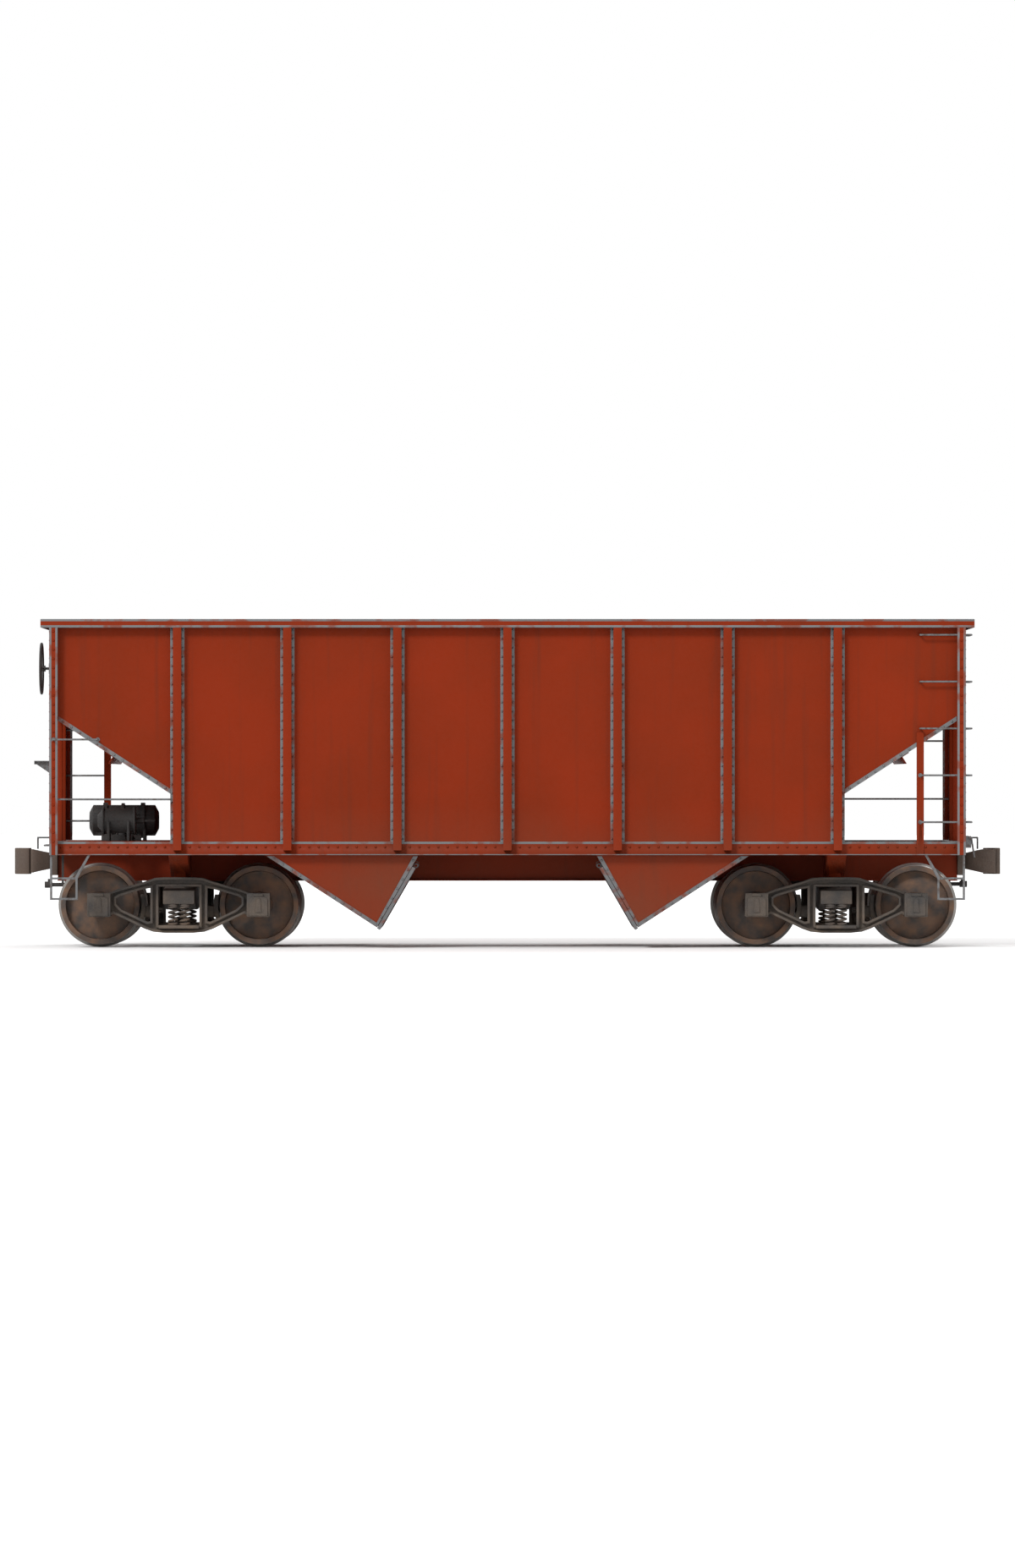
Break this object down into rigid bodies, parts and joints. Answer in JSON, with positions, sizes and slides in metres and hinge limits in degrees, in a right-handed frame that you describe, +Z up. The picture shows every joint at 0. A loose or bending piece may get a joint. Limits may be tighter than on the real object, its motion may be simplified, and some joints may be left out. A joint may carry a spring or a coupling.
{
  "type": "open hopper wagon",
  "caption": "Open-topped steel hopper wagon with outside stakes, sloped ends, bottom doors that open, ladders at the corners and two swivelling bogies.",
  "frame": {"origin": "on the floor under the wheel flanges, midway along and across the wagon", "axes": "+X along the wagon towards the end without the hand brake, +Y across it to the far side, +Z up"},
  "size_m": [10.48, 3.226, 3.4459],
  "materials": {
    "oxide_paint": "satin paint, weathered",
    "dark_steel": "dull black paint",
    "cast_steel": "oily, dusty",
    "bare_steel": "worn bright",
    "worn_steel": "grey, worn by hands"
  },
  "bodies": {
    "body": {"side_sheets_near": "oxide_paint", "side_sheets_far": "oxide_paint", "side_stakes_near": "oxide_paint", "side_stakes_far": "oxide_paint", "side_sills": "oxide_paint", "top_chords": "oxide_paint", "end_chords": "oxide_paint", "corner_posts": "oxide_paint", "end_sheets": "oxide_paint", "slope_sheets": "oxide_paint", "slope_beams": "oxide_paint", "centre_ridge": "oxide_paint", "sill_hoods": "oxide_paint", "hopper_sheets_a": "oxide_paint", "hopper_sheets_b": "oxide_paint", "centre_sill": "oxide_paint", "end_sills": "oxide_paint", "body_bolsters": "oxide_paint", "end_posts": "oxide_paint", "cross_ties": "oxide_paint", "side_ladders": "worn_steel", "end_ladders": "worn_steel", "grab_irons": "worn_steel", "sill_steps": "worn_steel", "couplers": "cast_steel", "knuckles": "cast_steel", "strikers": "cast_steel", "uncoupling_levers": "worn_steel", "train_line": "dark_steel", "brake_wheel": "dark_steel", "hand_brake": "cast_steel", "brake_step": "worn_steel", "brake_stringers": "oxide_paint", "brake_cylinder": "dark_steel", "air_reservoir": "dark_steel", "control_valve": "dark_steel"},
    "door_a_near": {"door_a_near": "oxide_paint"},
    "door_a_far": {"door_a_far": "oxide_paint"},
    "door_b_near": {"door_b_near": "oxide_paint"},
    "door_b_far": {"door_b_far": "oxide_paint"},
    "truck_a": {"side_frames_a": "cast_steel", "truck_bolster_a": "cast_steel", "springs_a": "dark_steel", "brake_beams_a": "cast_steel"},
    "truck_b": {"side_frames_b": "cast_steel", "truck_bolster_b": "cast_steel", "springs_b": "dark_steel", "brake_beams_b": "cast_steel"},
    "wheelset_a_outer": {"wheels_a_outer": "bare_steel", "axle_a_outer": "dark_steel"},
    "wheelset_a_inner": {"wheels_a_inner": "bare_steel", "axle_a_inner": "dark_steel"},
    "wheelset_b_outer": {"wheels_b_outer": "bare_steel", "axle_b_outer": "dark_steel"},
    "wheelset_b_inner": {"wheels_b_inner": "bare_steel", "axle_b_inner": "dark_steel"}
  },
  "joints": [
    {"name": "truck_a_swivel", "type": "hinge", "parent": "body", "child": "truck_a", "pos_m": [3.456, 0, 0.68], "axis": [0, 0, 1], "range_deg": [-4, 4]},
    {"name": "truck_b_swivel", "type": "hinge", "parent": "body", "child": "truck_b", "pos_m": [-3.456, 0, 0.68], "axis": [0, 0, -1], "range_deg": [-4, 4]},
    {"name": "wheelset_a_outer_spin", "type": "hinge", "parent": "truck_a", "child": "wheelset_a_outer", "pos_m": [4.294, 0, 0.445], "axis": [0, 1, 0], "continuous": true},
    {"name": "wheelset_a_inner_spin", "type": "hinge", "parent": "truck_a", "child": "wheelset_a_inner", "pos_m": [2.618, 0, 0.445], "axis": [0, 1, 0], "continuous": true},
    {"name": "wheelset_b_outer_spin", "type": "hinge", "parent": "truck_b", "child": "wheelset_b_outer", "pos_m": [-4.294, 0, 0.445], "axis": [0, 1, 0], "continuous": true},
    {"name": "wheelset_b_inner_spin", "type": "hinge", "parent": "truck_b", "child": "wheelset_b_inner", "pos_m": [-2.618, 0, 0.445], "axis": [0, 1, 0], "continuous": true},
    {"name": "door_a_near_hinge", "type": "hinge", "parent": "body", "child": "door_a_near", "pos_m": [0.95993, 0, 0.86227], "axis": [0, 1, 0], "range_deg": [0, 70]},
    {"name": "door_a_far_hinge", "type": "hinge", "parent": "body", "child": "door_a_far", "pos_m": [0.95993, 0, 0.86227], "axis": [0, 1, 0], "range_deg": [0, 70]},
    {"name": "door_b_near_hinge", "type": "hinge", "parent": "body", "child": "door_b_near", "pos_m": [-0.95993, 0, 0.86227], "axis": [0, -1, 0], "range_deg": [0, 70]},
    {"name": "door_b_far_hinge", "type": "hinge", "parent": "body", "child": "door_b_far", "pos_m": [-0.95993, 0, 0.86227], "axis": [0, -1, 0], "range_deg": [0, 70]}
  ]
}
